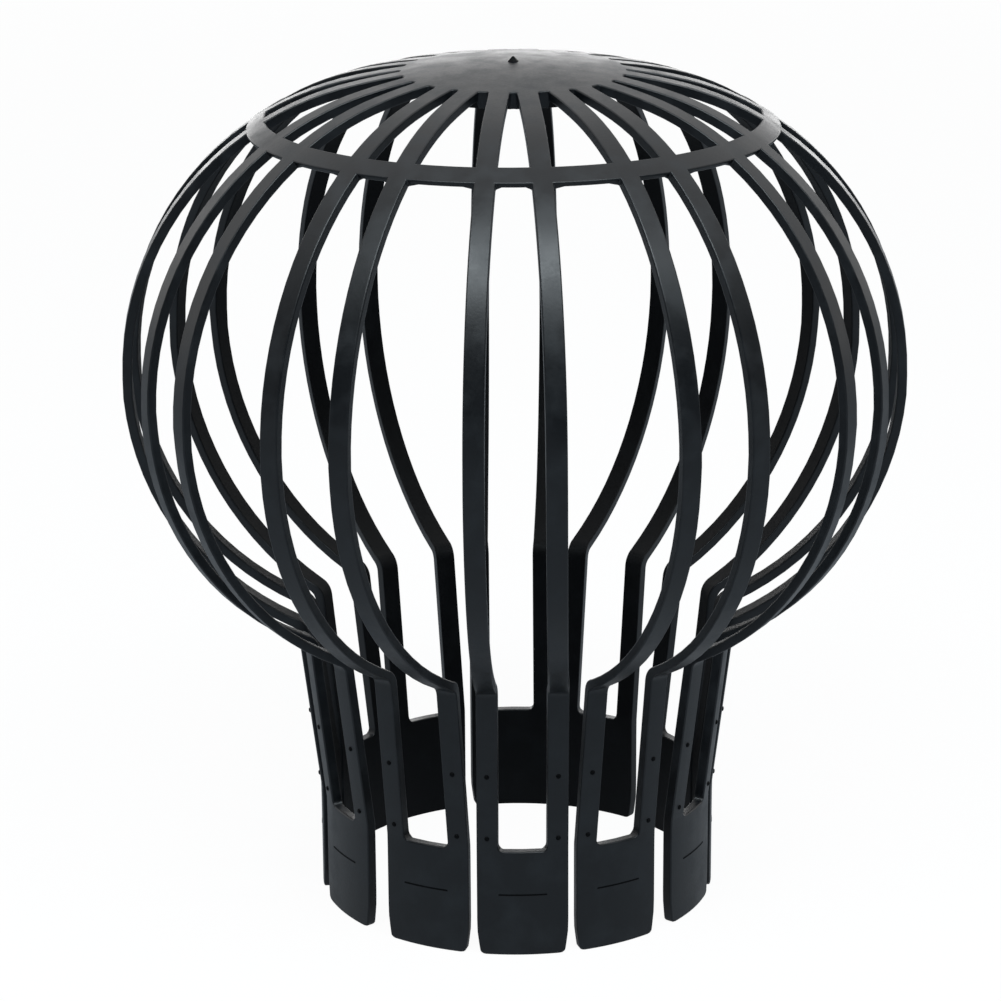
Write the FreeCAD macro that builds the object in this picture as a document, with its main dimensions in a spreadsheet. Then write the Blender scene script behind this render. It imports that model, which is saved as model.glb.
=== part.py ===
import FreeCAD, Part
import Sketcher
import math
import os

# Downpipe leaf filter: one moulded cage of ribs on twelve spring fingers.
# Lengths are millimetres and angles are degrees; the finger ends stand on z = 0.

doc = FreeCAD.newDocument("leaf_filter")
sheet = doc.addObject("Spreadsheet::Sheet", "sizes")

sizes = {
    # Rib line of the cage, on the outer face
    "belly_radius": 65.0,
    "equator_height": 92.0,
    "dome_height": 51.0,
    "crown_curve": 120.0,
    "neck_radius": 37.4,
    "neck_height": 47.4,
    # Ribs in pairs; aside is the distance of a rib's middle from its pair's middle plane
    "rib_width": 3.3,
    "rib_wall": 1.6,
    "rib_aside_crown": 2.25,
    "rib_aside_belly": 6.3,
    # Crown disc and ring stand proud of the ribs by the lip
    "lip": 0.15,
    "crown_disc": 18.4,
    "crown_wall": 2.9,
    "ring_inner": 40.2,
    "ring_outer": 43.7,
    # Fingers
    "spigot_radius": 33.7,
    "panel_height": 18.4,
    "finger_wall": 1.8,
    "finger_half": 7.6,
    "window_half": 4.1,
    "finger_corner": 0.9,
    # Moulding gate on the crown
    "gate_radius": 0.9,
    "gate_height": 0.8,
}

# Turn of each finger away from its even place, counted from the front towards +X
swings = [1.6, 0.0, 3.0, 2.6, 1.0, 3.0, 1.4, -0.2, -1.7, -3.0, -0.6, 3.2]
for finger, swing in enumerate(swings):
    sizes["finger_swing_" + str(finger)] = swing
finger_count = len(swings)
pitch = 360.0 / finger_count
clearance = 3.0
rib_overlap = 1.0

for row, (name, number) in enumerate(sizes.items(), start=1):
    sheet.set("A" + str(row), name)
    sheet.set("B" + str(row), str(number))
    sheet.setAlias("B" + str(row), name)
doc.recompute()


class Dim:
    # A number together with the expression that gives it from the sheet

    def __init__(self, number, text):
        self.number = float(number)
        self.text = text

    def __add__(self, other):
        other = as_dim(other)
        return Dim(self.number + other.number, "(" + self.text + " + " + other.text + ")")

    def __sub__(self, other):
        other = as_dim(other)
        return Dim(self.number - other.number, "(" + self.text + " - " + other.text + ")")

    def __mul__(self, other):
        other = as_dim(other)
        return Dim(self.number * other.number, "(" + self.text + " * " + other.text + ")")

    def __truediv__(self, other):
        other = as_dim(other)
        return Dim(self.number / other.number, "(" + self.text + " / " + other.text + ")")

    def __neg__(self):
        return Dim(-self.number, "(0 - " + self.text + ")")


def as_dim(value):
    if isinstance(value, Dim):
        return value
    return Dim(value, repr(float(value)))


def cell(name):
    return Dim(sizes[name], "sizes." + name)


def sine(angle):
    angle = as_dim(angle)
    return Dim(math.sin(math.radians(angle.number)), "sin(" + angle.text + ")")


def cosine(angle):
    angle = as_dim(angle)
    return Dim(math.cos(math.radians(angle.number)), "cos(" + angle.text + ")")


def root(value):
    return Dim(math.sqrt(value.number), "sqrt(" + value.text + ")")


def larger(first, second):
    return Dim(max(first.number, second.number), "max(" + first.text + "; " + second.text + ")")


def smaller(first, second):
    return Dim(min(first.number, second.number), "min(" + first.text + "; " + second.text + ")")


def bearing(dx, dy):
    return Dim(math.degrees(math.atan2(dy.number, dx.number)), "atan2(" + dy.text + "; " + dx.text + ")")


def plan_point(along, aside, turn):
    # Place in plan: along is outward from the axis, turn runs from the front (-Y) towards +X
    x = along * sine(turn) + aside * cosine(turn)
    y = aside * sine(turn) - along * cosine(turn)
    return x, y


def new_sketch(body, name, plane, lift=None):
    sketch = body.newObject("Sketcher::SketchObject", name)
    support = [item for item in body.Origin.OriginFeatures if item.Role == plane][0]
    sketch.AttachmentSupport = [(support, "")]
    sketch.MapMode = "FlatFace"
    if lift is not None:
        sketch.AttachmentOffset = FreeCAD.Placement(FreeCAD.Vector(0, 0, lift.number), FreeCAD.Rotation())
        sketch.setExpression("AttachmentOffset.Base.z", lift.text)
    return sketch


def new_upright_sketch(name, origin, toward):
    # Upright sketch plane: its origin is a plan point, and its x axis points there from another one
    sketch = new_sketch(body, name, "XZ_Plane")
    turn = bearing(origin[0] - toward[0], origin[1] - toward[1])
    place = FreeCAD.Vector(origin[0].number, 0, -origin[1].number)
    sketch.AttachmentOffset = FreeCAD.Placement(place, FreeCAD.Rotation(FreeCAD.Vector(0, 1, 0), turn.number))
    sketch.setExpression("AttachmentOffset.Base.x", origin[0].text)
    sketch.setExpression("AttachmentOffset.Base.z", (-origin[1]).text)
    sketch.setExpression("AttachmentOffset.Rotation.Angle", turn.text)
    return sketch


def bind(sketch, constraints, dims):
    indices = sketch.addConstraint(constraints)
    for index, dim in zip(indices, dims):
        sketch.setExpression("Constraints[" + str(index) + "]", dim.text)


def vector(point):
    return FreeCAD.Vector(point[0].number, point[1].number, 0)


def draw_loop(sketch, points, arcs):
    # arcs gives the centre and the radius of each side that is an arc, by the number of its first point
    first = sketch.GeometryCount
    count = len(points)
    for number, point in enumerate(points):
        start = vector(point)
        end = vector(points[(number + 1) % count])
        if number in arcs:
            centre, radius, clockwise = arcs[number]
            middle = vector(centre)
            if clockwise:
                start, end = end, start
            a0 = math.atan2(start.y - middle.y, start.x - middle.x)
            a1 = math.atan2(end.y - middle.y, end.x - middle.x)
            circle = Part.Circle(middle, FreeCAD.Vector(0, 0, 1), radius.number)
            sketch.addGeometry(Part.ArcOfCircle(circle, a0, a1), False)
        else:
            sketch.addGeometry(Part.LineSegment(start, end), False)
    # Vertex 1 is a side's start and vertex 2 its end; a clockwise arc holds them the other way round
    joins = []
    for number in range(count):
        following = (number + 1) % count
        end_vertex = 1 if number in arcs and arcs[number][2] else 2
        start_vertex = 2 if following in arcs and arcs[following][2] else 1
        joins.append(Sketcher.Constraint("Coincident", first + number, end_vertex, first + following, start_vertex))
    sketch.addConstraint(joins)
    places = []
    dims = []
    for number, point in enumerate(points):
        vertex = 2 if number in arcs and arcs[number][2] else 1
        side = first + number
        places.append(Sketcher.Constraint("DistanceX", -1, 1, side, vertex, point[0].number))
        places.append(Sketcher.Constraint("DistanceY", -1, 1, side, vertex, point[1].number))
        dims.extend(point)
    for number, (centre, radius, clockwise) in arcs.items():
        places.append(Sketcher.Constraint("Radius", first + number, radius.number))
        dims.append(radius)
    bind(sketch, places, dims)


body = doc.addObject("PartDesign::Body", "leaf_filter")
body.Label = "leaf_filter"


def volume_grew(before, after, name):
    if not after.Shape.Volume > before.Shape.Volume + 1.0:
        raise RuntimeError(name + " added nothing")


def volume_cut(before, after, name):
    if not after.Shape.Volume < before.Shape.Volume - 1.0:
        raise RuntimeError(name + " removed nothing")


def revolve(name, points, arcs):
    section = new_sketch(body, name + "_section", "XZ_Plane")
    draw_loop(section, points, arcs)
    doc.recompute()
    turned = body.newObject("PartDesign::Revolution", name)
    turned.Profile = section
    turned.ReferenceAxis = (section, ["V_Axis"])
    turned.Angle = 360
    doc.recompute()
    return turned


def pad_rib(name, sketch):
    rib = body.newObject("PartDesign::Pad", name)
    rib.Profile = sketch
    rib.SideType = "Symmetric"
    rib.Refine = False
    rib.Length = rib_width.number
    rib.setExpression("Length", rib_width.text)
    doc.recompute()
    return rib


def pocket(name, sketch, depth, before):
    cut = body.newObject("PartDesign::Pocket", name)
    cut.Profile = sketch
    cut.Type = 0
    cut.Length = depth.number
    cut.setExpression("Length", depth.text)
    cut.Reversed = False
    doc.recompute()
    volume_cut(before, cut, name)
    return cut


def pattern(name, originals):
    copies = body.newObject("PartDesign::PolarPattern", name)
    copies.Originals = originals
    axis = [item for item in body.Origin.OriginFeatures if item.Role == "Z_Axis"][0]
    copies.Axis = (axis, [""])
    copies.Angle = 360
    copies.Occurrences = finger_count
    copies.Refine = False
    body.Tip = copies
    doc.recompute()
    return copies


def chamfer(name, base, edges, size):
    eased = body.newObject("PartDesign::Chamfer", name)
    eased.Base = (base, edges)
    eased.Size = size.number
    eased.setExpression("Size", size.text)
    doc.recompute()
    volume_cut(base, eased, name)
    return eased


def edge_names(shape, wanted):
    return ["Edge" + str(number) for number, edge in enumerate(shape.Edges, start=1) if wanted(edge)]


belly = cell("belly_radius")
equator = cell("equator_height")
dome = cell("dome_height")
crown_curve = cell("crown_curve")
neck_radius = cell("neck_radius")
neck_height = cell("neck_height")
rib_width = cell("rib_width")
rib_wall = cell("rib_wall")
lip = cell("lip")
crown_disc = cell("crown_disc")
spigot = cell("spigot_radius")
panel = cell("panel_height")
finger_wall = cell("finger_wall")
finger_half = cell("finger_half")
window_half = cell("window_half")
zero = Dim(0, "0")
axis_point = (zero, zero)

# Finger wall: a full turn of leg and panel, parted into fingers further down
leg_top = neck_height + rib_wall
wall_points = [
    (spigot, zero),
    (spigot, panel),
    (neck_radius, leg_top),
    (neck_radius - finger_wall, leg_top),
    (spigot - finger_wall, panel),
    (spigot - finger_wall, zero),
]
finger_wall_turn = revolve("finger_wall_turn", wall_points, {})


def finger_turn(finger):
    return cell("finger_swing_" + str(finger)) + pitch * finger


# Windows between the two legs of each finger
cut_margin = 0.25
inside_margin = 1.0
inside = smaller(spigot, neck_radius) - finger_wall - inside_margin
cut_top = leg_top + cut_margin
windows = new_sketch(body, "finger_windows", "XY_Plane", cut_top)
cut_radius = larger(spigot, neck_radius) + cut_margin
window_outside = root(cut_radius * cut_radius - window_half * window_half)
for finger in range(finger_count):
    turn = finger_turn(finger)
    loop = [
        plan_point(window_outside, window_half, turn),
        plan_point(inside, window_half, turn),
        plan_point(inside, -window_half, turn),
        plan_point(window_outside, -window_half, turn),
    ]
    draw_loop(windows, loop, {3: (axis_point, cut_radius, False)})
doc.recompute()
window_cut = pocket("finger_window", windows, cut_top - panel, finger_wall_turn)

# Gaps that part the wall into fingers
gaps = new_sketch(body, "finger_gaps", "XY_Plane", cut_top)
gap_outside = root(cut_radius * cut_radius - finger_half * finger_half)
for finger in range(finger_count):
    turn = finger_turn(finger)
    next_turn = finger_turn((finger + 1) % finger_count)
    loop = [
        plan_point(gap_outside, -finger_half, next_turn),
        plan_point(inside, -finger_half, next_turn),
        plan_point(inside, finger_half, turn),
        plan_point(gap_outside, finger_half, turn),
    ]
    draw_loop(gaps, loop, {3: (axis_point, cut_radius, False)})
doc.recompute()
gap_cut = pocket("finger_gap", gaps, cut_top + clearance, window_cut)


def short_edge_at(height):
    def wanted(edge):
        if edge.Degenerated or len(edge.Vertexes) != 2 or edge.Length > 1.5 * finger_wall.number:
            return False
        return all(abs(vertex.Point.z - height) < 0.001 for vertex in edge.Vertexes)

    return wanted


end_edges = edge_names(gap_cut.Shape, short_edge_at(0.0))
finger_ends = chamfer("finger_ends", gap_cut, end_edges, cell("finger_corner"))

# Section of the dome: the shoulder arc runs into the crown arc
crown_z = equator + dome - crown_curve
crown_drop = crown_curve - dome
crown_over = crown_curve - belly
shoulder_x = (crown_drop * crown_drop - crown_over * crown_over) / (crown_over * 2)
shoulder_curve = belly - shoulder_x
centre_gap = crown_curve - shoulder_curve
touch_sine = shoulder_x / centre_gap
touch_cosine = crown_drop / centre_gap


def dome_z(curve, centre_x, centre_z, radius):
    offset = radius - centre_x
    return centre_z + root(curve * curve - offset * offset)


# Ring on the shoulder
ring_inner = cell("ring_inner")
ring_outer = cell("ring_outer")
ring_high = shoulder_curve + lip
ring_low = shoulder_curve - rib_wall - lip
ring_points = [
    (ring_inner, dome_z(ring_high, shoulder_x, equator, ring_inner)),
    (ring_outer, dome_z(ring_high, shoulder_x, equator, ring_outer)),
    (ring_outer, dome_z(ring_low, shoulder_x, equator, ring_outer)),
    (ring_inner, dome_z(ring_low, shoulder_x, equator, ring_inner)),
]
ring = revolve("ring", ring_points, {})
volume_grew(finger_ends, ring, "ring")

# Crown disc: domed above and a shallow cone below, thicker than the ribs that run into it
disc_high = crown_curve + lip
disc_low = crown_curve - cell("crown_wall")
disc_points = [
    (zero, crown_z + disc_high),
    (crown_disc, dome_z(disc_high, zero, crown_z, crown_disc)),
    (crown_disc, dome_z(disc_low, zero, crown_z, crown_disc)),
    (zero, crown_z + disc_low),
]
disc_arcs = {0: ((zero, crown_z), disc_high, True)}
crown = revolve("crown", disc_points, disc_arcs)
volume_grew(ring, crown, "crown")

# Gate nub on the crown
gate_base = equator + dome - rib_wall / 2
gate_circle = new_sketch(body, "gate_circle", "XY_Plane", gate_base)
gate_radius = cell("gate_radius")
gate_circle.addGeometry(Part.Circle(FreeCAD.Vector(0, 0, 0), FreeCAD.Vector(0, 0, 1), gate_radius.number), False)
gate_circle.addConstraint(Sketcher.Constraint("Coincident", 0, 3, -1, 1))
bind(gate_circle, [Sketcher.Constraint("Radius", 0, gate_radius.number)], [gate_radius])
doc.recompute()
gate = body.newObject("PartDesign::Pad", "gate")
gate.Profile = gate_circle
gate_length = rib_wall / 2 + lip + cell("gate_height")
gate.Length = gate_length.number
gate.setExpression("Length", gate_length.text)
doc.recompute()
volume_grew(crown, gate, "gate")

# Ribs below the equator: each is an arc in the upright plane from the belly to its leg
rib_aside_belly = cell("rib_aside_belly")
belly_along = root(belly * belly - rib_aside_belly * rib_aside_belly)
leg_middle = (window_half + finger_half) / 2
buried = finger_wall * 0.7
leg_along = root(neck_radius * neck_radius - leg_middle * leg_middle) - buried
drop = equator - neck_height
last = gate
for finger in range(finger_count):
    for side in (-1, 1):
        belly_point = plan_point(belly_along, rib_aside_belly * side, pitch * finger)
        leg_point = plan_point(leg_along, leg_middle * side, finger_turn(finger))
        dx = belly_point[0] - leg_point[0]
        dy = belly_point[1] - leg_point[1]
        reach = root(dx * dx + dy * dy)
        neck_reach = reach - buried
        curve = (neck_reach * neck_reach + drop * drop) / (neck_reach * 2)
        inner_curve = curve - rib_wall
        past = curve - reach
        name = "under_rib_" + str(finger) + ("_a" if side < 0 else "_b")
        sketch = new_upright_sketch(name + "_line", belly_point, leg_point)
        points = [
            (zero, equator),
            (-reach, equator - root(curve * curve - past * past)),
            (-reach, equator - root(inner_curve * inner_curve - past * past)),
            (-rib_wall, equator),
        ]
        centre = (-curve, equator)
        draw_loop(sketch, points, {0: (centre, curve, True), 2: (centre, inner_curve, False)})
        doc.recompute()
        rib = pad_rib(name, sketch)
        volume_grew(last, rib, name)
        last = rib

# Ribs above the equator end inside the crown disc
rib_aside_crown = cell("rib_aside_crown")
rib_end = crown_disc - rib_overlap
upper_ribs = []
for side in (-1, 1):
    belly_point = plan_point(belly_along, rib_aside_belly * side, 0.0)
    crown_point = plan_point(crown_disc, rib_aside_crown * side, 0.0)
    name = "upper_rib" + ("_a" if side < 0 else "_b")
    sketch = new_upright_sketch(name + "_line", belly_point, crown_point)
    inner_crown = crown_curve - rib_wall
    inner_shoulder = shoulder_curve - rib_wall
    points = [
        (zero, equator),
        (crown_curve * touch_sine - belly, crown_z + crown_curve * touch_cosine),
        (rib_end - belly, dome_z(crown_curve, zero, crown_z, rib_end)),
        (rib_end - belly, dome_z(inner_crown, zero, crown_z, rib_end)),
        (inner_crown * touch_sine - belly, crown_z + inner_crown * touch_cosine),
        (-rib_wall, equator),
    ]
    shoulder_centre = (shoulder_x - belly, equator)
    crown_centre = (-belly, crown_z)
    arcs = {
        0: (shoulder_centre, shoulder_curve, False),
        1: (crown_centre, crown_curve, False),
        3: (crown_centre, inner_crown, True),
        4: (shoulder_centre, inner_shoulder, True),
    }
    draw_loop(sketch, points, arcs)
    doc.recompute()
    rib = pad_rib(name, sketch)
    volume_grew(last, rib, name)
    last = rib
    upper_ribs.append(rib)
cage = pattern("upper_rib_ring", upper_ribs)
volume_grew(last, cage, "upper_rib_ring")

doc.recompute()

for item in doc.Objects:
    if "Invalid" in item.State or "Error" in item.State:
        raise RuntimeError(item.Name + " did not build")

os.makedirs("parts", exist_ok=True)
shape = body.Shape
if shape.isNull() or not shape.isValid() or len(shape.Solids) != 1:
    raise RuntimeError("leaf_filter is not one valid solid")
shape.exportStep("parts/leaf_filter.step")
print("leaf_filter", round(shape.Volume, 1), shape.BoundBox)
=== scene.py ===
import math
import random

import bpy
from mathutils import Matrix, Vector


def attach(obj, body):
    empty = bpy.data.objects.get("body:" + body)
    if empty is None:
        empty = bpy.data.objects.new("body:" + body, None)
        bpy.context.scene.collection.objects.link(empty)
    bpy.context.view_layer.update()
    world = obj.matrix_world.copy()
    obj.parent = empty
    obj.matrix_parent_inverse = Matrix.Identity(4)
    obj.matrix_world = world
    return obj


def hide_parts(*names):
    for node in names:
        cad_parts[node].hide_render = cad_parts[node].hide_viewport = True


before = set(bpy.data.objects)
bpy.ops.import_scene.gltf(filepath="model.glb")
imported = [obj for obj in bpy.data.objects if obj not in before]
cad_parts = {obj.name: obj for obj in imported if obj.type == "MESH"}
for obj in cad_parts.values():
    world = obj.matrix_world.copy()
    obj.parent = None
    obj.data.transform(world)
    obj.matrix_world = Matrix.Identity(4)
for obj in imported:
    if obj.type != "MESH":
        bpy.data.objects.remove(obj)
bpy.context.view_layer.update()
mm = 0.001
scene = bpy.context.scene
print("frame loaded")


# node trees and meshes

class Sock:
    # a socket in a node tree; sums on it add Math nodes

    def __init__(self, tree, socket):
        self.tree = tree
        self.socket = socket

    def math(self, operation, *values):
        settings = {"operation": operation}
        return addNode(self.tree, "ShaderNodeMath", settings, dict(enumerate(values)))

    def __add__(self, other):
        return self.math("ADD", self, other)

    def __radd__(self, other):
        return self.math("ADD", other, self)

    def __sub__(self, other):
        return self.math("SUBTRACT", self, other)

    def __rsub__(self, other):
        return self.math("SUBTRACT", other, self)

    def __mul__(self, other):
        return self.math("MULTIPLY", self, other)

    def __rmul__(self, other):
        return self.math("MULTIPLY", other, self)


def addNode(tree, kind, settings, sockets, out=0):
    node = tree.nodes.new(kind)
    for name, value in settings.items():
        if name == "stops":
            setStops(node.color_ramp, value)
        else:
            setattr(node, name, value)
    for name, value in sockets.items():
        if isinstance(value, Sock):
            tree.links.new(value.socket, node.inputs[name])
        else:
            node.inputs[name].default_value = value
    return Sock(tree, node.outputs[out]) if node.outputs else None


def setStops(ramp, stops):
    while len(ramp.elements) < len(stops):
        ramp.elements.new(0.5)
    for element, (place, grey) in zip(ramp.elements, stops):
        element.position = place
        element.color = (grey, grey, grey, 1)


def emptyTree(owner):
    owner.use_nodes = True
    owner.node_tree.nodes.clear()
    return owner.node_tree


def mixColours(tree, share, first, second):
    # a Mix node's colour sockets go by number, because their names repeat
    sockets = {"Factor": share, 6: first, 7: second}
    return addNode(tree, "ShaderNodeMix", {"data_type": "RGBA"}, sockets, 2)


def noise(tree, place, size, detail):
    sockets = {"Vector": place, "Scale": 1 / size, "Detail": detail}
    return addNode(tree, "ShaderNodeTexNoise", {}, sockets)


def meshObject(name, points, faces):
    # points are in millimetres
    mesh = bpy.data.meshes.new(name)
    mesh.from_pydata([(x * mm, y * mm, z * mm) for x, y, z in points], [], faces)
    made = bpy.data.objects.new(name, mesh)
    scene.collection.objects.link(made)
    return made


# moulded plastic

plastic = {
    "colour": (0.0014, 0.0022, 0.0033, 1),
    "worn": (0.0150, 0.0175, 0.0200, 1),
    "roughness": 0.40,
    "specular": 0.40,
    # size and detail of each pattern
    "grain": (0.45 * mm, 3.0),
    "cloud": (5.0 * mm, 4.0),
    "flow": (2.2 * mm, 2.0),
    "wave": (6.0 * mm, 0.5),
    "flowDrawn": 0.12,  # flow lines are drawn out along the height
    "dust": [(0.45, 0.0), (0.8, 1.0)],  # ramp from clouds to dust
    "dustWear": 0.65,
    "flowWear": 0.15,
    "polish": 0.14,  # clean plastic is that much smoother
    "dustRough": 0.14,
    "grainRough": 0.12,
    "flowRough": 0.10,
    "bump": 0.5,
    "grainHeight": 0.018 * mm,
    # in grain heights
    "flowHeight": 0.8,
    "waveHeight": 3.0,
}


def mouldedPlastic(name, spec):
    material = bpy.data.materials.new(name)
    tree = emptyTree(material)
    place = addNode(tree, "ShaderNodeTexCoord", {}, {}, "Object")
    stretch = {"Vector": place, "Scale": (1, 1, spec["flowDrawn"])}
    drawn = addNode(tree, "ShaderNodeMapping", {}, stretch)
    grain = noise(tree, place, *spec["grain"])
    cloud = noise(tree, place, *spec["cloud"])
    flow = noise(tree, drawn, *spec["flow"])
    wave = noise(tree, place, *spec["wave"])
    dust = addNode(tree, "ShaderNodeValToRGB", {"stops": spec["dust"]}, {"Fac": cloud})
    wear = dust * spec["dustWear"] + flow * spec["flowWear"]
    rough = spec["roughness"] - spec["polish"] + dust * spec["dustRough"]
    rough = rough + grain * spec["grainRough"] + flow * spec["flowRough"]
    bump = addNode(tree, "ShaderNodeBump", {}, {
        "Strength": spec["bump"],
        "Distance": spec["grainHeight"],
        "Height": grain + flow * spec["flowHeight"] + wave * spec["waveHeight"],
    })
    surface = addNode(tree, "ShaderNodeBsdfPrincipled", {}, {
        "Base Color": mixColours(tree, wear, spec["colour"], spec["worn"]),
        "Roughness": rough,
        "Specular IOR Level": spec["specular"],
        "Normal": bump,
    })
    addNode(tree, "ShaderNodeOutputMaterial", {}, {"Surface": surface})
    return material


blackPlastic = mouldedPlastic("black_plastic_moulded", plastic)

# painted shade: a darker, less glossy copy of the plastic for the faces inside the cage
shadedInside = {
    **plastic,
    "colour": (0.0010, 0.0013, 0.0018, 1),
    "worn": (0.0060, 0.0068, 0.0078, 1),
    "roughness": 0.56,
    "specular": 0.13,
}
shadedInsidePlastic = mouldedPlastic("black_plastic_inner_painted_shade", shadedInside)  # painted shade of the cage's inside: darker colour and weaker gloss on the inner faces, which are also rougher
print("material made")

# cage: one sheet of a pair of ribs, from the crown to the finger end, in millimetres

cage = {
    "count": 12,
    "belly": 65.0,
    "equator": 92.0,
    "dome": 51.0,
    "crownCurve": 120.0,
    "neck": 37.4,
    "neckHeight": 47.4,
    "legTop": 49.0,
    "ribWidth": 3.3,
    "asideCrown": 2.25,
    "asideBelly": 6.3,
    "crownDisc": 18.4,
    "slotCorner": 0.4,
    "slotSides": (24.0, 30.0),  # radii between which a slot's sides are read
    "ringInner": 40.6,
    "ringOuter": 43.7,
    "spigot": 33.7,
    "panel": 18.4,
    "fingerHalf": 7.6,
    "windowHalf": 4.1,
    "windowRound": 0.9,
    "endRound": 0.9,
    "endTaper": 0.45,
    "taperHeight": 5.0,
    "neckEase": 1.1,
    "crownWall": 2.9,
    "ribWall": 1.6,
    "ringWall": 1.0,
    "fingerWall": 1.8,
    "edge": 0.28,
    "edgeSteps": 2,
    "edgeAngle": 50.0,  # sharper corners than this are rounded
    "seam": 0.01,
    # rows of each stretch, from the crown down
    "crownShares": (0, 0.075, 0.2, 0.4, 0.6, 0.78, 0.9),
    "slotRows": 9,
    "ringRows": 3,
    "shoulderRows": 14,
    "underRows": 16,
    "neckRows": 8,
    "legRows": 9,
    "panelRows": 8,
    # turn of each finger from its even place, in degrees
    "swings": [1.6, 0.0, 3.0, 2.6, 1.0, 3.0, 1.4, -0.2, -1.7, -3.0, -0.6, 3.2],
}
halfPitch = math.pi / cage["count"]
crownZ = cage["equator"] + cage["dome"] - cage["crownCurve"]
crownDrop = cage["crownCurve"] - cage["dome"]
crownOver = cage["crownCurve"] - cage["belly"]
shoulderX = (crownDrop ** 2 - crownOver ** 2) / (2 * crownOver)
shoulderCurve = cage["belly"] - shoulderX
touchRadius = cage["crownCurve"] * shoulderX / (cage["crownCurve"] - shoulderCurve)
bellyAlong = math.sqrt(cage["belly"] ** 2 - cage["asideBelly"] ** 2)
legMiddle = (cage["windowHalf"] + cage["fingerHalf"]) / 2
legHalf = (cage["fingerHalf"] - cage["windowHalf"]) / 2

# a row's columns run from the pair's middle over the rib to the sector's border
ribSteps = [-1, -0.5, 0, 0.5, 1]  # across a rib, inner edge first
cornerSteps = 4  # of a rounded corner, half of them on rows and half on columns
midCorner = cornerSteps // 2
gapColumns = midCorner + 1  # in the gap on either side of the rib
openGap = [None] * gapColumns


def domeHeight(radius):
    if radius <= touchRadius:
        return crownZ + math.sqrt(cage["crownCurve"] ** 2 - radius ** 2)
    return cage["equator"] + math.sqrt(max(shoulderCurve ** 2 - (radius - shoulderX) ** 2, 0))


def legRadius(z):
    share = max(0, (z - cage["panel"]) / (cage["legTop"] - cage["panel"]))
    return cage["spigot"] + (cage["neck"] - cage["spigot"]) * share


def mix(first, second, share):
    return first + (second - first) * share


def smooth(share):
    share = min(max(share, 0), 1)
    return share * share * (3 - 2 * share)


def spread(first, last, count):
    return [mix(first, last, step / count) for step in range(1, count + 1)]


def acrossRib(first, last):
    return [mix(first, last, (u + 1) / 2) for u in ribSteps]


def cornerTurn(step):
    return math.radians(90 * step / cornerSteps)


def onBorder(aside, along):
    # the same place measured from the sector's border: distance from it, and along it
    return (along * math.sin(halfPitch) - aside * math.cos(halfPitch),
            aside * math.sin(halfPitch) + along * math.cos(halfPitch))


ribHalf = cage["ribWidth"] / 2
ribSlope = math.atan2(cage["asideBelly"] - cage["asideCrown"], bellyAlong - cage["crownDisc"])


def upperRib(radius, across):
    back = radius - cage["belly"]
    aside = cage["asideBelly"] + back * math.sin(ribSlope) + across * math.cos(ribSlope)
    along = bellyAlong + back * math.cos(ribSlope) - across * math.sin(ribSlope)
    return aside, along


slotTip = cage["crownDisc"]


def slotHalf(near, far):
    # half width at its tip of a slot that opens evenly
    slope = (far[0] - near[0]) / (far[1] - near[1])
    return near[0] + slope * (slotTip - near[1])


narrowHalf = slotHalf(*[upperRib(radius, -ribHalf) for radius in cage["slotSides"]])
wideHalf = slotHalf(*[onBorder(*upperRib(radius, ribHalf)) for radius in cage["slotSides"]])


def slotCorner(half, step):
    turn = cornerTurn(step)
    ease = cage["slotCorner"]
    return half - ease + ease * math.sin(turn), slotTip + ease * (1 - math.cos(turn))


def tipRow(step):
    inner = slotCorner(narrowHalf, step)
    outer = onBorder(*slotCorner(wideHalf, step))
    rib = list(zip(acrossRib(inner[0], outer[0]), acrossRib(inner[1], outer[1])))
    narrow = [(0, slotTip)] + [slotCorner(narrowHalf, n) for n in range(midCorner)]
    wide = [slotCorner(wideHalf, n) for n in reversed(range(midCorner))] + [(0, slotTip)]
    wide = [onBorder(*place) for place in wide]
    wall = mix(cage["crownWall"], cage["ribWall"], (step - midCorner) / midCorner)
    return [(a, b, domeHeight(math.hypot(a, b)), 0.0, wall) for a, b in narrow + rib + wide]


def crownRows(tip):
    rows = []
    for share in cage["crownShares"]:
        row = []
        for aside, along, z, swung, wall in tip:
            height = domeHeight(math.hypot(aside, along) * share)
            row.append((aside * share, along * share, height, swung, wall))
        rows.append(row)
    return rows


def ribRow(radius):
    rib = [upperRib(radius, u * ribHalf) for u in ribSteps]
    inner = math.atan2(*rib[0])
    outer = math.atan2(*rib[-1])
    innerReach = math.hypot(*rib[0])
    outerReach = math.hypot(*rib[-1])
    turns = [inner * n / gapColumns for n in range(gapColumns)]
    narrow = [(innerReach * math.sin(turn), innerReach * math.cos(turn)) for turn in turns]
    turns = spread(outer, halfPitch, gapColumns)
    wide = [(outerReach * math.sin(turn), outerReach * math.cos(turn)) for turn in turns]
    rim = [cage["ringWall"]] * gapColumns
    walls = rim + [cage["ribWall"]] * len(ribSteps) + rim
    z = domeHeight(radius)
    return [(a, b, z, 0.0, wall) for (a, b), wall in zip(narrow + rib + wide, walls)]


neckZ = cage["neckHeight"]
neckAlong = math.sqrt(legRadius(neckZ) ** 2 - legMiddle ** 2)
underAside = cage["asideBelly"] - legMiddle
underSlope = math.atan2(underAside, bellyAlong - neckAlong)
neckReach = math.hypot(underAside, bellyAlong - neckAlong)
neckDrop = cage["equator"] - neckZ
underCurve = (neckReach ** 2 + neckDrop ** 2) / (2 * neckReach)
underTurn = math.asin(neckDrop / underCurve)
easeTurn = underTurn - cage["neckEase"] / underCurve
easeZ = neckZ - cage["neckEase"]


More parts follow.
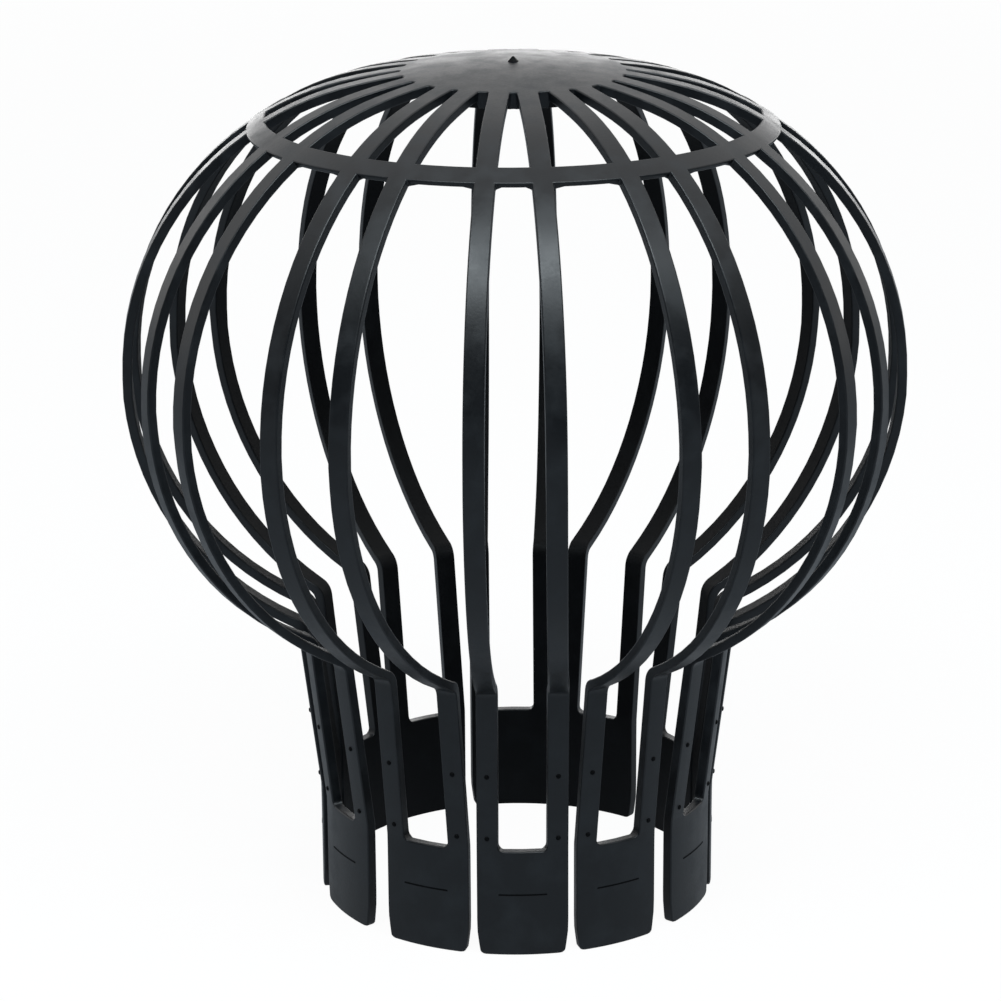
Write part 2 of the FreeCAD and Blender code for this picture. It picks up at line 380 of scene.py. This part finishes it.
def underRow(turn):
    back = underCurve * (1 - math.cos(turn))
    share = back / neckReach
    half = mix(ribHalf, legHalf, smooth(share * 2 - 1))
    z = cage["equator"] - underCurve * math.sin(turn)
    row = []
    for u in ribSteps:
        across = u * half
        aside = cage["asideBelly"] - back * math.sin(underSlope) + across * math.cos(underSlope)
        along = bellyAlong - back * math.cos(underSlope) - across * math.sin(underSlope)
        row.append((aside, along, z, share * neckAlong / along, cage["ribWall"]))
    return openGap + row + openGap


def onLeg(aside, z):
    return aside, math.sqrt(legRadius(z) ** 2 - aside ** 2), z, 1.0, cage["fingerWall"]


def legRow(z):
    return openGap + [onLeg(legMiddle + u * legHalf, z) for u in ribSteps] + openGap


def neckRows():
    # the corner where rib turns into leg, eased a little
    columns = list(zip(underRow(easeTurn), legRow(neckZ), legRow(easeZ)))
    rows = []
    for step in range(cage["neckRows"]):
        t = step / (cage["neckRows"] - 1)
        weights = ((1 - t) ** 2, 2 * t * (1 - t), t * t)
        row = []
        for before, corner, after in columns:
            if before is None:
                row.append(None)
                continue
            values = zip(before, corner, after)
            row.append(tuple(sum(w * v for w, v in zip(weights, three)) for three in values))
        rows.append(row)
    return rows


def windowCorner(step):
    turn = cornerTurn(step)
    ease = cage["windowRound"]
    aside = cage["windowHalf"] - ease + ease * math.cos(turn)
    return aside, cage["panel"] + ease - ease * math.sin(turn)


def windowRow(step):
    side, z = windowCorner(step)
    rib = [onLeg(aside, z) for aside in acrossRib(side, cage["fingerHalf"])]
    if step < midCorner:
        return openGap + rib + openGap
    corner = [onLeg(*windowCorner(n)) for n in range(cornerSteps, midCorner, -1)]
    return [onLeg(0, cage["panel"])] + corner + rib + openGap


def panelHalf(z):
    return cage["fingerHalf"] - cage["endTaper"] * smooth(1 - z / cage["taperHeight"])


def underWindow(z):
    return [onLeg(cage["windowHalf"] * n / gapColumns, z) for n in range(gapColumns)]


def panelRow(z):
    rib = [onLeg(aside, z) for aside in acrossRib(cage["windowHalf"], panelHalf(z))]
    return underWindow(z) + rib + openGap


def endCorner(step):
    turn = cornerTurn(step)
    ease = cage["endRound"]
    aside = panelHalf(0) - ease + ease * math.cos(turn)
    return aside, ease - ease * math.sin(turn)


def endRow(step):
    inner = cage["windowHalf"]
    outer, z = endCorner(step)
    if step < midCorner:
        rib = [onLeg(aside, z) for aside in acrossRib(inner, outer)]
        return underWindow(z) + rib + openGap
    flatEnd = endCorner(cornerSteps)[0]
    rib = [onLeg(inner, 0), onLeg(mix(inner, flatEnd, 0.5), 0)]
    rib += [onLeg(*endCorner(n)) for n in range(cornerSteps, midCorner - 1, -1)]
    return underWindow(0) + rib + openGap


def sheetRows():
    # rows from the crown's middle to the finger end; the band under a row fills the gaps it names
    rows = []
    bands = []

    def add(row, narrow=False, wide=False):
        rows.append(row)
        bands.append((narrow, wide))

    tip = tipRow(midCorner)
    for row in crownRows(tip):
        add(row, True, True)
    add(tip)
    for step in range(midCorner + 1, cornerSteps + 1):
        add(tipRow(step))
    ringInner, ringOuter = cage["ringInner"], cage["ringOuter"]
    for radius in spread(slotTip + cage["slotCorner"], ringInner, cage["slotRows"])[:-1]:
        add(ribRow(radius))
    for radius in [ringInner] + spread(ringInner, ringOuter, cage["ringRows"])[:-1]:
        add(ribRow(radius), True, True)
    add(ribRow(ringOuter))
    ringTurn = math.acos((ringOuter - shoulderX) / shoulderCurve)
    for turn in spread(ringTurn, 0, cage["shoulderRows"]):
        add(ribRow(shoulderX + shoulderCurve * math.cos(turn)))
    for turn in spread(0, easeTurn, cage["underRows"])[:-1]:
        add(underRow(turn))
    for row in neckRows():
        add(row)
    for z in spread(easeZ, cage["panel"] + 2 * cage["windowRound"], cage["legRows"]):
        add(legRow(z))
    for step in range(midCorner):
        add(windowRow(step))
    add(windowRow(midCorner), True)
    for z in spread(cage["panel"], 2 * cage["endRound"], cage["panelRows"]):
        add(panelRow(z), True)
    for step in range(midCorner):
        add(endRow(step), True)
    add(endRow(midCorner))
    return rows, bands


def sectorSheet():
    rows, bands = sheetRows()
    half = len(rows[0])
    ribEnd = gapColumns + len(ribSteps) - 1
    points = []
    shares = []
    walls = []
    index = {}

    def corner(r, c):
        # number of the point at a row and column, made when a face first asks for it
        if (r, c) not in index:
            aside, along, z, share, wall = rows[r][abs(c)]
            index[r, c] = len(points)
            points.append((math.copysign(aside, c), -along, z))
            shares.append(share)
            walls.append(wall / cage["crownWall"])
        return index[r, c]

    faces = []
    for r, (narrow, wide) in enumerate(bands[:-1]):
        for c in range(1 - half, half - 1):
            near = min(abs(c), abs(c + 1))
            if near < gapColumns and not narrow or near >= ribEnd and not wide:
                continue
            lower = (corner(r + 1, c), corner(r + 1, c + 1))
            faces.append((*lower, corner(r, c + 1), corner(r, c)))
    sheet = meshObject("sector_sheet", points, faces)
    for name, values in (("share", shares), ("wall", walls)):
        sheet.data.attributes.new(name, "FLOAT", "POINT").data.foreach_set("value", values)
    return sheet


def fingerPlaces():
    # one point for each finger, carrying its turn
    mesh = bpy.data.meshes.new("finger_places")
    mesh.from_pydata([(0, 0, 0)] * cage["count"], [], [])
    attribute = mesh.attributes.new("swing", "FLOAT", "POINT")
    attribute.data.foreach_set("value", [math.radians(turn) for turn in cage["swings"]])
    return mesh


def openTree(name, inputs):
    tree = bpy.data.node_groups.new(name, "GeometryNodeTree")
    for label, kind in inputs.items():
        kind = "NodeSocket" + kind
        tree.interface.new_socket(name=label, in_out="INPUT", socket_type=kind)
    tree.interface.new_socket(name="Made", in_out="OUTPUT", socket_type="NodeSocketGeometry")
    given = {label: addNode(tree, "NodeGroupInput", {}, {}, label) for label in inputs}
    return tree, given


def readAttribute(tree, name, kind):
    return addNode(tree, "GeometryNodeInputNamedAttribute", {"data_type": kind}, {"Name": name})


def repeated(tree, places, model, turn):
    shape = addNode(tree, "GeometryNodeObjectInfo", {}, {"Object": model}, "Geometry")
    sockets = {"Points": places, "Instance": shape, "Rotation": turn}
    copies = addNode(tree, "GeometryNodeInstanceOnPoints", {}, sockets)
    return addNode(tree, "GeometryNodeRealizeInstances", {}, {"Geometry": copies})


def closeTree(tree, made, finish):
    sockets = {"Geometry": made, "Material": finish}
    finished = addNode(tree, "GeometryNodeSetMaterial", {}, sockets)
    addNode(tree, "NodeGroupOutput", {}, {0: finished})
    return tree


def ringTree():
    tree, given = openTree("ring_of_fingers", {
        "Places": "Geometry",
        "Sector": "Object",
        "Pitch": "Float",
        "Seam": "Float",
        "Finish": "Material",
    })
    count = addNode(tree, "GeometryNodeInputIndex", {}, {})
    turn = addNode(tree, "ShaderNodeCombineXYZ", {}, {"Z": count * given["Pitch"]})
    whole = repeated(tree, given["Places"], given["Sector"], turn)
    swing = readAttribute(tree, "swing", "FLOAT") * readAttribute(tree, "share", "FLOAT")
    place = addNode(tree, "GeometryNodeInputPosition", {}, {})
    turned = addNode(
        tree, "ShaderNodeVectorRotate", {"rotation_type": "Z_AXIS"},
        {"Vector": place, "Angle": swing},
    )
    swung = addNode(
        tree, "GeometryNodeSetPosition", {},
        {"Geometry": whole, "Position": turned},
    )
    joined = addNode(
        tree, "GeometryNodeMergeByDistance", {},
        {"Geometry": swung, "Distance": given["Seam"]},
    )
    return closeTree(tree, joined, given["Finish"])


def piecesFrom(name, places, tree, values):
    # runs a tree on the places and keeps the result as a plain mesh
    carrier = bpy.data.objects.new(name + "_carrier", places)
    scene.collection.objects.link(carrier)
    modifier = carrier.modifiers.new("repeat", "NODES")
    modifier.node_group = tree
    for item in tree.interface.items_tree:
        if item.item_type == "SOCKET" and item.name in values:
            modifier[item.identifier] = values[item.name]
    bpy.context.view_layer.update()
    graph = bpy.context.evaluated_depsgraph_get()
    mesh = bpy.data.meshes.new_from_object(carrier.evaluated_get(graph))
    bpy.data.objects.remove(carrier)
    for value in values.values():
        if isinstance(value, bpy.types.Object):
            bpy.data.objects.remove(value)
    piece = bpy.data.objects.new(name, mesh)
    scene.collection.objects.link(piece)
    return piece


def finishWall(piece):
    for polygon in piece.data.polygons:
        polygon.use_smooth = True
    thick = piece.vertex_groups.new(name="wall")
    for place, weight in enumerate(piece.data.attributes["wall"].data):
        thick.add([place], weight.value, "REPLACE")
    wall = piece.modifiers.new("wall", "SOLIDIFY")
    wall.thickness = cage["crownWall"] * mm
    wall.vertex_group = thick.name
    wall.offset = -1
    wall.use_even_offset = True
    piece.data.materials.append(shadedInsidePlastic)
    wall.material_offset = 1  # inner faces take the second material, which paints shade on the inside
    edge = piece.modifiers.new("edge", "BEVEL")
    edge.width = cage["edge"] * mm
    edge.segments = cage["edgeSteps"]
    edge.limit_method = "ANGLE"
    edge.angle_limit = math.radians(cage["edgeAngle"])
    edge.harden_normals = True


leafCage = piecesFrom("leaf_cage", fingerPlaces(), ringTree(), {
    "Sector": sectorSheet(),
    "Pitch": 2 * halfPitch,
    "Seam": cage["seam"] * mm,
    "Finish": blackPlastic,
})
finishWall(leafCage)
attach(leafCage, "root")
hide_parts("leaf_filter")
print("cage made", len(leafCage.data.polygons))

# pips on the legs and a fine line on each panel, repeated by one tree; both wear painted shade,
# the line as a painted shadow line

pip = {
    "heights": [32.2, 20.8],
    "radius": 0.42,
    "rise": 0.24,
    "sunk": 0.15,
    "sides": 10,
    "dome": [(1.0, 0.3), (0.62, 0.85)],  # shares of radius and rise
}
line = {
    "height": 10.8,
    "half": 4.0,
    "thick": 0.24,
    "rise": 0.05,
    "sunk": 0.2,
    "steps": 10,
}
# painted shade: a darker, duller copy of the plastic, for the pips, the panel lines and the gate
# nub
shaded = {
    **plastic,
    "colour": (0.0016, 0.0018, 0.0022, 1),
    "worn": (0.0030, 0.0032, 0.0036, 1),
    "roughness": 0.62,
    "specular": 0.08,
}
shadedPlastic = mouldedPlastic("black_plastic_shaded", shaded)


def stackFaces(rings, sides):
    # a closed foot, bands from ring to ring, and a fan to the tip
    faces = [tuple(reversed(range(sides)))]
    for ring in range(rings):
        for side in range(sides):
            a, b = ring * sides + side, ring * sides + (side + 1) % sides
            if ring < rings - 1:
                faces.append((a, b, b + sides, a + sides))
            else:
                faces.append((a, b, rings * sides))
    return faces


def domedPip():
    # a low button that stands out towards the front
    sides = pip["sides"]
    rings = [(1.0, -pip["sunk"])]
    rings += [(radius, share * pip["rise"]) for radius, share in pip["dome"]]
    points = []
    for radius, rise in rings:
        reach = pip["radius"] * radius
        for side in range(sides):
            turn = 2 * math.pi * side / sides
            points.append((reach * math.cos(turn), -rise, reach * math.sin(turn)))
    points.append((0, -pip["rise"], 0))
    return meshObject("pip_shape", points, stackFaces(len(rings), sides))


def curvedLine():
    # a thin bar round the front of the spigot, dark as a painted shadow line
    high = cage["spigot"] + line["rise"]
    low = cage["spigot"] - line["sunk"]
    under = line["height"] - line["thick"] / 2
    over = line["height"] + line["thick"] / 2
    section = ((high, under), (high, over), (low, over), (low, under))
    sides = len(section)
    steps = line["steps"]
    points = []
    for step in range(steps + 1):
        turn = math.asin(mix(-line["half"], line["half"], step / steps) / cage["spigot"])
        for radius, z in section:
            points.append((radius * math.sin(turn), -radius * math.cos(turn), z))
    faces = [tuple(range(sides)), tuple(sides * steps + n for n in reversed(range(sides)))]
    for step in range(steps):
        for n in range(sides):
            a, b = sides * step + n, sides * step + (n + 1) % sides
            faces.append((a, a + sides, b + sides, b))
    return meshObject("line_shape", points, faces)


def markPlaces(name, spots):
    # points that carry how each mark is turned
    mesh = bpy.data.meshes.new(name)
    mesh.from_pydata([tuple(v * mm for v in place) for place, turn in spots], [], [])
    turns = mesh.attributes.new("turn", "FLOAT_VECTOR", "POINT")
    turns.data.foreach_set("vector", [v for place, turn in spots for v in turn])
    return mesh


def markTree():
    tree, given = openTree("marks_on_fingers", {
        "Places": "Geometry",
        "Mark": "Object",
        "Finish": "Material",
    })
    turn = readAttribute(tree, "turn", "FLOAT_VECTOR")
    whole = repeated(tree, given["Places"], given["Mark"], turn)
    return closeTree(tree, whole, given["Finish"])


def fingerTurns():
    pitch = 2 * halfPitch
    return [math.radians(swing) + pitch * n for n, swing in enumerate(cage["swings"])]


def pipSpots():
    lean = math.atan2(cage["neck"] - cage["spigot"], cage["legTop"] - cage["panel"])
    spots = []
    for turn in fingerTurns():
        for side in (-1, 1):
            for z in pip["heights"]:
                reach = legRadius(z)
                aside = math.asin(side * legMiddle / reach) + turn
                place = (reach * math.sin(aside), -reach * math.cos(aside), z)
                spots.append((place, (lean, 0, aside)))
    return spots


def lineSpots():
    return [((0, 0, 0), (0, 0, turn)) for turn in fingerTurns()]


markRing = markTree()
legPips = piecesFrom("leg_pips", markPlaces("pip_places", pipSpots()), markRing, {
    "Mark": domedPip(),
    "Finish": shadedPlastic,
})
panelLines = piecesFrom("panel_lines", markPlaces("line_places", lineSpots()), markRing, {
    "Mark": curvedLine(),
    "Finish": shadedPlastic,
})
for marks in (legPips, panelLines):
    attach(marks, "root")
print("finger marks made")

# torn gate nub on the crown

nub = {
    "radius": 0.88,
    "rise": 0.85,
    "sunk": 0.6,
    "sides": 14,
    "rings": [(1.0, 0.05), (0.62, 0.4), (0.16, 0.78)],  # share of radius, and rise
    "tipAside": 0.05,
    "unevenReach": 0.1,
    "unevenRise": 0.12,
    "seed": 5,
}


def gateNub():
    chance = random.Random(nub["seed"])
    top = cage["equator"] + cage["dome"]
    sides = nub["sides"]
    rings = [(1.0, -nub["sunk"])] + nub["rings"]
    points = []
    for radius, rise in rings:
        for side in range(sides):
            turn = 2 * math.pi * side / sides
            wider = 1 + chance.uniform(-nub["unevenReach"], nub["unevenReach"])
            higher = 1 + chance.uniform(-nub["unevenRise"], nub["unevenRise"])
            reach = nub["radius"] * radius * wider
            z = top + min(rise * higher, nub["rise"])
            points.append((reach * math.cos(turn), reach * math.sin(turn), z))
    points.append((nub["tipAside"], 0, top + nub["rise"]))
    made = meshObject("gate_nub", points, stackFaces(len(rings), sides))
    # the nub takes the shaded copy of the plastic: painted shade
    made.data.materials.append(shadedPlastic)
    return made


tornGate = gateNub()
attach(tornGate, "root")
print("gate nub made")

# floor, light and camera

white = (1.0, 1.0, 1.0)
daylight = (0.86, 0.95, 1.0)
stage = {
    "floorSize": 6000.0,
    "floorColour": (0.20, 0.26, 0.32, 1),
    "floorSeen": (0.95, 0.95, 0.95, 1),
    "floorGlow": 0.95,  # share of plain white on the floor for the camera
    "floorGloss": 0.3,  # and for gloss
    "fill": 0.26,
    "front": 0.06,  # gloss sees a dim room in front of the object
    "backdrop": (-0.35, 0.25),  # and a white backdrop that sets in between these directions
    # place, aim, size, power and colour of each soft box
    "boxes": {
        "high_front": ((0.03, -0.42, 0.86), (0, 0, 0.1), (1.05, 0.28), 10.8, daylight),
        "left_back": ((-0.60, 1.05, 0.25), (0, 0, 0.1), (0.4, 0.4), 0.6, white),
        "right_back": ((0.60, 1.05, 0.25), (0, 0, 0.1), (0.4, 0.4), 0.5, white),
        "low_back": ((0, 1.3, 0.18), (0, 0, 0.14), (1.2, 0.24), 3.2, white),
    },
}


def rayKinds(tree):
    kinds = ("Is Camera Ray", "Is Glossy Ray", "Is Transmission Ray")
    return [addNode(tree, "ShaderNodeLightPath", {}, {}, kind) for kind in kinds]


def paleFloor():
    material = bpy.data.materials.new("pale_floor")
    tree = emptyTree(material)
    seen, glossy, through = rayKinds(tree)
    paint = mixColours(tree, seen, stage["floorColour"], stage["floorSeen"])
    matt = addNode(tree, "ShaderNodeBsdfDiffuse", {}, {"Color": paint})
    glow = addNode(tree, "ShaderNodeEmission", {}, {"Color": (*white, 1), "Strength": 1.0})
    shown = (seen + through) * stage["floorGlow"] + glossy * stage["floorGloss"]
    both = addNode(tree, "ShaderNodeMixShader", {}, {0: shown, 1: matt, 2: glow})
    addNode(tree, "ShaderNodeOutputMaterial", {}, {"Surface": both})
    half = stage["floorSize"] / 2
    corners = [(-half, -half, 0), (half, -half, 0), (half, half, 0), (-half, half, 0)]
    made = meshObject("floor", corners, [(0, 1, 2, 3)])
    made.data.materials.append(material)
    return made


floor = paleFloor()


def paleWorld():
    world = bpy.data.worlds.new("white_studio")
    tree = emptyTree(world)
    seen, glossy, through = rayKinds(tree)
    facing = addNode(tree, "ShaderNodeTexCoord", {}, {}, "Generated")
    behind = addNode(tree, "ShaderNodeSeparateXYZ", {}, {0: facing}, "Y")
    begin, full = stage["backdrop"]
    backdrop = addNode(
        tree, "ShaderNodeMapRange", {"interpolation_type": "SMOOTHSTEP"},
        {"Value": behind, "From Min": begin, "From Max": full},
    )
    level = stage["fill"] + glossy * (stage["front"] - stage["fill"])
    soft = addNode(
        tree, "ShaderNodeBackground", {},
        {"Color": (*daylight, 1), "Strength": level},
    )
    plain = addNode(tree, "ShaderNodeBackground", {}, {"Color": (*white, 1), "Strength": 1.0})
    shown = seen + through + glossy * backdrop
    both = addNode(tree, "ShaderNodeMixShader", {}, {0: shown, 1: soft, 2: plain})
    addNode(tree, "ShaderNodeOutputWorld", {}, {"Surface": both})
    scene.world = world


def softBox(name, place, aim, size, power, colour):
    lamp = bpy.data.lights.new(name, "AREA")
    lamp.color = colour
    lamp.shape = "RECTANGLE"
    lamp.size, lamp.size_y = size
    lamp.energy = power
    box = bpy.data.objects.new(name, lamp)
    box.location = place
    facing = Vector(aim) - Vector(place)
    box.rotation_euler = facing.to_track_quat("-Z", "Y").to_euler()
    scene.collection.objects.link(box)


paleWorld()
for name, values in stage["boxes"].items():
    softBox(name, *values)

view = {
    "elevation": 15.5,
    "distance": 608.0,
    "lens": 131.2,
    "sensor": 36.0,
    "imageSide": 1001,
    "axisAt": (516.0, 364.5),  # where the belly's middle falls in the picture
    "roll": -0.35,
}


def photoCamera():
    camera = bpy.data.cameras.new("photo_camera")
    camera.sensor_width = view["sensor"]
    camera.lens = view["lens"]
    eye = bpy.data.objects.new("photo_camera", camera)
    scene.collection.objects.link(eye)
    rise = math.radians(view["elevation"])
    reach = view["distance"] * mm
    eye.location = (0, -reach * math.cos(rise), cage["equator"] * mm + reach * math.sin(rise))
    focal = view["lens"] / view["sensor"] * view["imageSide"]
    middle = view["imageSide"] / 2
    pan = math.atan((view["axisAt"][0] - middle) / focal)
    tilt = math.atan((middle - view["axisAt"][1]) / focal)
    turn = Matrix.Rotation(pan, 4, "Z") @ Matrix.Rotation(math.pi / 2 - rise - tilt, 4, "X")
    turn = turn @ Matrix.Rotation(math.radians(view["roll"]), 4, "Z")
    eye.rotation_euler = turn.to_euler()
    scene.camera = eye


photoCamera()
scene.view_settings.view_transform = "Standard"
print("stage made")
